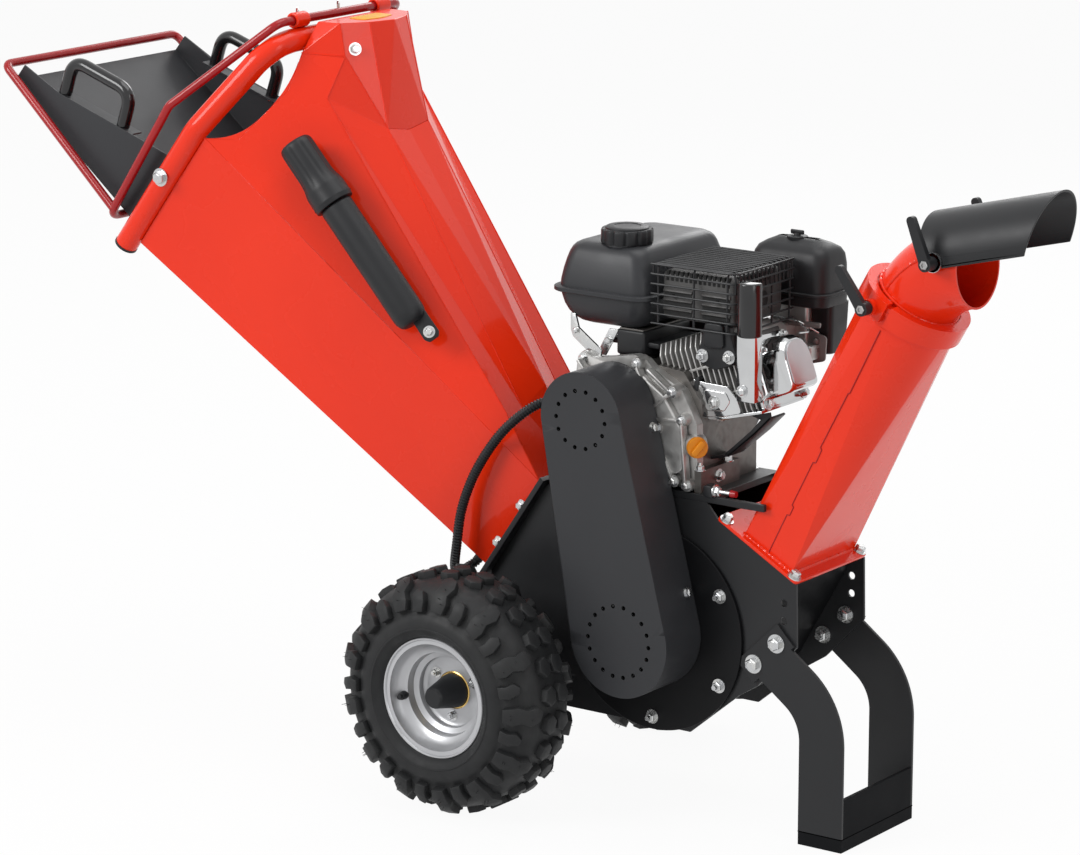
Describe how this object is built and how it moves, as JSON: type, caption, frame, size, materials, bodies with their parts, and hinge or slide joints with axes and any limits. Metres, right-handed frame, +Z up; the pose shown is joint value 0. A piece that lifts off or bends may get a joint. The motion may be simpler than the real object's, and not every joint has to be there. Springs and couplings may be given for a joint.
{
  "type": "garden shredder",
  "caption": "Wheeled petrol garden shredder with a folding feed tray, stop bar, belt-driven chipping rotor, and a swivelling discharge chute with a tilting deflector",
  "frame": {"origin": "on the ground under the middle of the machine's length and width", "axes": "+X from the feed tray to the discharge, +Y to the side away from the belt cover, +Z up"},
  "size_m": [1.7191, 0.629, 1.1035],
  "materials": {
    "red_paint": "gloss",
    "bar_paint": "gloss",
    "black_paint": "satin",
    "zinc": "satin",
    "steel": "ground",
    "cast_aluminium": "as cast",
    "bright_metal": "polished",
    "muffler_steel": "matt",
    "black_plastic": "matt",
    "grip_vinyl": "gloss",
    "orange_plastic": "satin",
    "rim_silver": "satin",
    "tyre_rubber": "matt",
    "belt_rubber": "matt"
  },
  "bodies": {
    "frame": {"housing_plate_left": "black_paint", "housing_plate_right": "black_paint", "housing_wrap": "black_paint", "feed_flange": "black_paint", "bearing_plates": "black_paint", "counter_knife": "steel", "engine_deck": "black_paint", "fasteners": "zinc", "belt_cover_back": "black_paint", "belt_cover": "black_paint", "drive_belts": "belt_rubber", "crankcase": "cast_aluminium", "crankcase_cover": "cast_aluminium", "engine_cylinder": "cast_aluminium", "valve_cover": "bright_metal", "blower_housing": "black_paint", "fuel_tank": "black_plastic", "muffler": "muffler_steel", "muffler_guard": "black_paint", "air_cleaner": "black_plastic", "carburettor": "cast_aluminium", "hopper_side_left": "red_paint", "hopper_side_right": "red_paint", "hopper_floor": "red_paint", "hopper_roof": "red_paint", "hopper_head": "red_paint", "mouth_tube": "red_paint", "plastic_fittings": "black_plastic", "bar_sleeves": "red_paint", "tool_tube": "black_plastic", "conduit": "black_plastic", "stand_legs": "black_paint", "stand_foot": "black_paint", "chute": "red_paint", "collar": "red_paint", "axle": "zinc"},
    "wheel_left": {"tyre_left": "tyre_rubber", "rim_left": "rim_silver", "hub_cap_left": "black_plastic"},
    "wheel_right": {"tyre_right": "tyre_rubber", "rim_right": "rim_silver", "hub_cap_right": "black_plastic"},
    "rotor": {"rotor_shaft": "steel", "rotor_drum": "steel", "rotor_pulley": "zinc"},
    "crank": {"crankshaft": "steel", "engine_pulley": "zinc"},
    "feed_tray": {"tray": "black_paint", "tray_grips": "grip_vinyl"},
    "feed_stop": {"stop_bar": "bar_paint"},
    "swivel_elbow": {"elbow": "red_paint"},
    "visor": {"deflector": "black_paint"},
    "visor_lever_left": {"deflector_lever_left": "black_plastic"},
    "visor_lever_right": {"deflector_lever_right": "black_plastic"},
    "clamp_lever": {"collar_lever": "black_plastic"},
    "tank_cap": {"fuel_cap": "black_plastic"},
    "filler_cap": {"oil_cap": "orange_plastic"},
    "throttle": {"throttle_lever": "zinc"},
    "pull_grip": {"starter_grip": "black_plastic"},
    "tool_cap": {"tool_tube_cap": "black_plastic"}
  },
  "joints": [
    {"name": "wheel_left_spin", "type": "hinge", "parent": "frame", "child": "wheel_left", "pos_m": [0.032, -0.242, 0.1775], "axis": [0, 1, 0], "continuous": true},
    {"name": "wheel_right_spin", "type": "hinge", "parent": "frame", "child": "wheel_right", "pos_m": [0.032, 0.242, 0.1775], "axis": [0, 1, 0], "continuous": true},
    {"name": "rotor_spin", "type": "hinge", "parent": "frame", "child": "rotor", "pos_m": [0.271, 0, 0.274], "axis": [0, 1, 0], "continuous": true},
    {"name": "crank_spin", "type": "hinge", "parent": "frame", "child": "crank", "pos_m": [0.205, 0, 0.586], "axis": [0, 1, 0], "continuous": true},
    {"name": "tray_fold", "type": "hinge", "parent": "frame", "child": "feed_tray", "pos_m": [-0.523, 0, 0.86], "axis": [0, 1, 0], "range_deg": [0, 55]},
    {"name": "stop_bar_swing", "type": "hinge", "parent": "frame", "child": "feed_stop", "pos_m": [-0.363, 0, 1.092], "axis": [0, 1, 0], "range_deg": [-1.5, 0]},
    {"name": "elbow_swivel", "type": "hinge", "parent": "frame", "child": "swivel_elbow", "pos_m": [0.43389, 0, 0.41587], "axis": [0.4909, 0, 0.8712], "continuous": true},
    {"name": "deflector_tilt", "type": "hinge", "parent": "swivel_elbow", "child": "visor", "pos_m": [0.70045, 0, 0.84905], "axis": [0, 1, 0], "range_deg": [-20, 55]},
    {"name": "deflector_lever_left_turn", "type": "hinge", "parent": "swivel_elbow", "child": "visor_lever_left", "pos_m": [0.70045, 0, 0.84905], "axis": [0, 1, 0], "range_deg": [-90, 90]},
    {"name": "deflector_lever_right_turn", "type": "hinge", "parent": "swivel_elbow", "child": "visor_lever_right", "pos_m": [0.70045, 0, 0.84905], "axis": [0, 1, 0], "range_deg": [-90, 90]},
    {"name": "collar_lever_turn", "type": "hinge", "parent": "frame", "child": "clamp_lever", "pos_m": [0.60858, -0.092, 0.77886], "axis": [0, 1, 0], "range_deg": [-60, 60]},
    {"name": "fuel_cap_turn", "type": "hinge", "parent": "frame", "child": "tank_cap", "pos_m": [0.177, -0.03, 0.82], "axis": [0, 0, 1], "range_deg": [0, 90]},
    {"name": "oil_cap_turn", "type": "hinge", "parent": "frame", "child": "filler_cap", "pos_m": [0.3368, -0.0878, 0.547], "axis": [0.7071, -0.7071, 0], "range_deg": [0, 360]},
    {"name": "throttle_swing", "type": "hinge", "parent": "frame", "child": "throttle", "pos_m": [0.267, 0.14, 0.654], "axis": [0, 1, 0], "range_deg": [-15, 30]},
    {"name": "starter_pull", "type": "slide", "parent": "frame", "child": "pull_grip", "axis": [-0.7071, 0, 0.7071], "range_m": [0, 0.5], "stiffness_N_per_m": 20, "springref_m": -0.1},
    {"name": "tool_cap_slide", "type": "slide", "parent": "frame", "child": "tool_cap", "axis": [-0.6315, -0.0705, 0.7722], "range_m": [0, 0.1]}
  ],
  "couplings": [
    {"joint": "crank_spin", "follows": "rotor_spin", "ratio": 1.3333}
  ]
}
